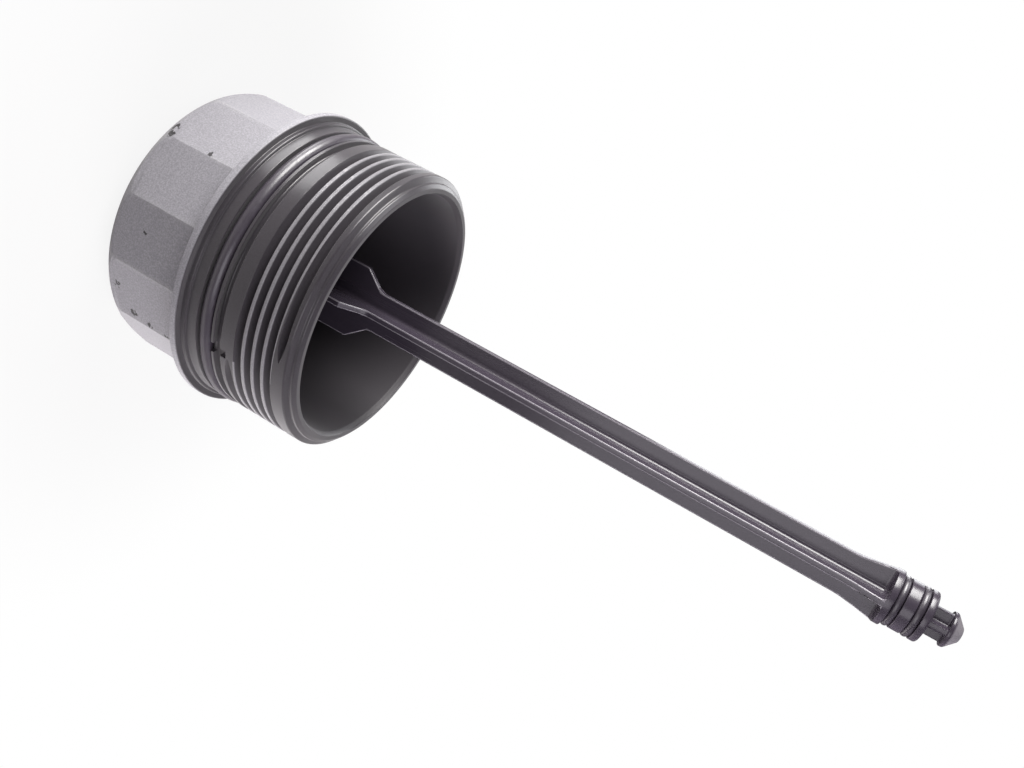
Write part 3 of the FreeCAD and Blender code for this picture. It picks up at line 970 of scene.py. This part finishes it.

# %% [markdown]
# ## Painted highlights on the stem
# The outer edges of the fins are painted light as a painted highlight, and the tip is painted
# pale as a painted sheen. The mask works out how far the fins reach at each height: the shaft's
# radius, and more where they flare out at both ends. A place near that reach that is also off
# the middle of its fin lies on an edge.

# %% Painted highlights on the stem's edges and tip
# Painted highlight along the outer edges of the fins.
FIN_HIGHLIGHT_COLOUR = (0.19, 0.175, 0.20)
# The tip colour is a painted sheen.
TIP_SHEEN_COLOUR = (0.20, 0.185, 0.205)
EDGE_FROM_TOP = (0.42, 0.22)
EDGE_FROM_MIDDLE = (0.42, 0.57)
COLLAR_BLUR = 0.3
TIP_BLUR = (-0.2, 0.4)

axes = add(tree, "ShaderNodeSeparateXYZ", {0: position})
height = axes.outputs["Z"]
along_x = math_node(tree, "ABSOLUTE", axes.outputs["X"])
along_y = math_node(tree, "ABSOLUTE", axes.outputs["Y"])
foot_more, head_more = (FOOT_FIN_R - SHAFT_R) * MM, (SEAL_COLLAR_R - SHAFT_R) * MM
foot_flare = ramp_straight(tree, height, SHAFT_BACK * MM, FOOT_FLARE * MM, 0.0, foot_more)
head_flare = ramp_straight(tree, height, HEAD_FLARE * MM, SEAL_COLLAR * MM, 0.0, head_more)
fin_reach = math_node(tree, "ADD", math_node(tree, "ADD", foot_flare, head_flare), SHAFT_R * MM)
below_top = math_node(tree, "SUBTRACT", fin_reach, math_node(tree, "MAXIMUM", along_x, along_y))
off_middle = math_node(tree, "MINIMUM", along_x, along_y)
fin_edge_highlight = product(
    tree,
    ramp(tree, below_top, EDGE_FROM_TOP[0] * MM, EDGE_FROM_TOP[1] * MM),
    ramp(tree, off_middle, EDGE_FROM_MIDDLE[0] * MM, EDGE_FROM_MIDDLE[1] * MM),
    ramp(tree, height, SEAL_COLLAR * MM, (SEAL_COLLAR - COLLAR_BLUR) * MM),
)
# The tip is painted pale as a painted sheen.
tip_sheen = ramp(tree, height, (TIP_CONE + TIP_BLUR[0]) * MM, (TIP_CONE + TIP_BLUR[1]) * MM)
# Painted highlight on the fin edges, then painted sheen on the tip.
colour = blend_colour(tree, fin_edge_highlight, hazy_stem, FIN_HIGHLIGHT_COLOUR)
colour = blend_colour(tree, tip_sheen, colour, TIP_SHEEN_COLOUR)
tree.links.new(colour, shader.inputs["Base Color"])
print(stem_nylon.name, "has", len(tree.nodes), "nodes")

# %% [markdown]
# ## Oily rubber
# The rings are black rubber that has been in oil. The rubber itself is dull, and the oil on
# it is shiny in patches, which is a coat whose weight follows a mask.

# %% Ring rubber
RUBBER_TONES = (0.032, 0.026, 0.036), (0.050, 0.042, 0.056)
RUBBER_ROUGHNESS = (0.36, 0.48)
OIL_WEIGHT = (0.5, 0.8)
RUBBER_RELIEF = (0.08, 0.00004)

oily_rubber, tree, shader, position = new_material(
    "oily_rubber", Specular_IOR_Level=0.5, Coat_Roughness=0.32, Coat_IOR=1.5)
haze_mask = place_group(tree, haze, position, Scale=160.0, Amount=0.8).outputs["Mask"]
tree.links.new(blend_colour(tree, haze_mask, *RUBBER_TONES), shader.inputs["Base Color"])
tree.links.new(ramp(tree, haze_mask, 0.0, 0.7, *RUBBER_ROUGHNESS), shader.inputs["Roughness"])
tree.links.new(ramp(tree, haze_mask, 0.7, 0.1, *OIL_WEIGHT), shader.inputs["Coat Weight"])
grain_node = place_group(tree, grain, position, Scale=1500.0)
add_relief(tree, shader, grain_node.outputs["Height"], *RUBBER_RELIEF)
print(oily_rubber.name, "has", len(tree.nodes), "nodes")

# %% [markdown]
# ## Pieces in the frame
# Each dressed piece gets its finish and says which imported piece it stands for. Nothing on
# this part moves, so all of them ride on the one body.

# %% Hand the pieces their finish and their place
for piece, finish, node, slot in (
    (cap, cap_nylon, "cap_shell", "cap_plastic"),
    (cap_ring, oily_rubber, "cap_o_ring", "ring_rubber"),
    (stem, stem_nylon, "stem", "stem_plastic"),
    (lower_ring, oily_rubber, "stem_o_ring_lower", "ring_rubber"),
    (upper_ring, oily_rubber, "stem_o_ring_upper", "ring_rubber"),
):
    piece.data.materials.clear()
    piece.data.materials.append(finish)
    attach(piece, "root")
    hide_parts(node)
    print(piece.name, "stands for", node, "with", finish.name)

# %% [markdown]
# ## Floor
# To the lamps the floor is grey paint. To the camera it is nearly white close to the part and
# plain white a little further out, which keeps the picture's ground bright without throwing
# too much light up at the black plastic.

# %% Floor
FLOOR_R = 3.0
FLOOR_DROP = 0.00005
PAINT_COLOUR = (0.38, 0.37, 0.37, 1)
WHITE_FROM, WHITE_AT = 0.05, 0.14
WHITE_SHARE_NEAR = 0.88

bpy.ops.object.select_all(action="DESELECT")
bpy.ops.mesh.primitive_circle_add(vertices=64, radius=FLOOR_R, fill_type="NGON", location=(0, 0, -FLOOR_DROP))
floor = bpy.context.object
floor.name = "floor"
floor_paint = bpy.data.materials.new("pale_floor")
floor_paint.use_nodes = True
tree = floor_paint.node_tree
tree.nodes.remove(tree.nodes["Principled BSDF"])
position = add(tree, "ShaderNodeTexCoord").outputs["Object"]
paint = add(tree, "ShaderNodeBsdfDiffuse", {"Color": PAINT_COLOUR})
white = add(tree, "ShaderNodeEmission", {"Color": (1, 1, 1, 1), "Strength": 1.0})
distance = add(tree, "ShaderNodeVectorMath", {0: position}, operation="LENGTH").outputs["Value"]
far = ramp(tree, distance, WHITE_FROM, WHITE_AT, WHITE_SHARE_NEAR, 1.0)
seen = math_node(tree, "MULTIPLY", far, add(tree, "ShaderNodeLightPath").outputs["Is Camera Ray"])
lit = add(tree, "ShaderNodeMixShader", {0: seen, 1: paint.outputs[0], 2: white.outputs[0]})
tree.links.new(lit.outputs[0], tree.nodes["Material Output"].inputs["Surface"])
floor.data.materials.append(floor_paint)
print("floor radius", FLOOR_R, "m")

# %% [markdown]
# ## World
# The world is white where the camera sees it and dim for everything else, so that most of
# the light on the part comes from the lamps.

# %% World
WORLD_LEVEL = 0.1
world = bpy.data.worlds.new("soft_room")
bpy.context.scene.world = world
world.use_nodes = True
tree = world.node_tree
room = tree.nodes["Background"]
room.inputs["Color"].default_value = (1, 1, 1, 1)
seen = add(tree, "ShaderNodeLightPath").outputs["Is Camera Ray"]
level = add(tree, "ShaderNodeMapRange", {"Value": seen, "To Min": WORLD_LEVEL, "To Max": 1.0})
tree.links.new(level.outputs["Result"], room.inputs["Strength"])
bpy.context.scene.view_settings.view_transform = "Standard"
print("the world lights the part with a level of", WORLD_LEVEL)

# %% [markdown]
# ## Lamps
# Black plastic shows little more than what it mirrors, so soft rectangles stand where
# something bright was in the photograph, seen from the part: the window over its upper side,
# the white table on the other side, and weaker light behind and above. The table is two
# lamps in one place. One lights the plastic but isn't mirrored in it, and a weaker one is, so
# that no hard glare lies on the thread. The lamp that fills the mouth isn't mirrored either.
# Of the two small cards, one lies on the floor under the window's side of the head, and one
# brightens the faces of the stem.

# %% Lamps
def soft_lamp(name, place, target, size, radiance, colour, mirrored=True):
    """A rectangular lamp that faces a target. One that isn't mirrored gives no gloss."""
    bpy.ops.object.light_add(type="AREA", location=place)
    lamp = bpy.context.object
    lamp.name = name
    lamp.rotation_euler = (Vector(target) - Vector(place)).to_track_quat("-Z", "Y").to_euler()
    lamp.data.shape = "RECTANGLE"
    lamp.data.size, lamp.data.size_y = size
    lamp.data.color = colour
    lamp.data.energy = radiance * math.pi * size[0] * size[1]
    lamp.visible_glossy = mirrored
    print(name, "at", [round(value, 2) for value in place], "with", round(lamp.data.energy, 2), "W")


def around(azimuth, distance, height):
    """A place at an angle round the part's axis."""
    turn = math.radians(azimuth)
    return (math.cos(turn) * distance, math.sin(turn) * distance, height)


TABLE = around(190, 0.55, 0.10)
DAYLIGHT, TABLE_LIGHT, MOUTH_LIGHT = (1.0, 0.99, 0.97), (1.0, 0.97, 0.95), (0.97, 0.95, 1.0)
SKYLIGHT, CARD_LIGHT, STEM_LIGHT = (0.97, 0.98, 1.0), (1.0, 1.0, 1.0), (0.98, 0.95, 1.0)

soft_lamp("window", around(4, 0.50, 0.17), (0, 0, 0.13), (0.36, 0.30), 18.0, DAYLIGHT)
soft_lamp("table_bounce", TABLE, (0, 0, 0.10), (0.45, 0.20), 15.5, TABLE_LIGHT, mirrored=False)
soft_lamp("table_sheen", TABLE, (0, 0, 0.10), (0.45, 0.20), 8.0, TABLE_LIGHT)
soft_lamp("mouth_fill", (-0.30, 0.05, 0.40), (0.03, 0, 0.05), (0.30, 0.30), 8.0, MOUTH_LIGHT, mirrored=False)
soft_lamp("back_window", around(-72, 0.60, 0.20), (0, 0, 0.10), (0.40, 0.25), 3.5, SKYLIGHT)
soft_lamp("high_window", (0.30, -0.18, 0.50), (0, 0, 0.06), (0.25, 0.25), 3.0, SKYLIGHT)
soft_lamp("low_card", (0.098, 0.016, 0.001), (0.098, 0.016, 1.0), (0.05, 0.06), 6.0, CARD_LIGHT)
soft_lamp("stem_card", around(100, 0.17, 0.17), (0, 0, 0.17), (0.10, 0.18), 2.2, STEM_LIGHT)
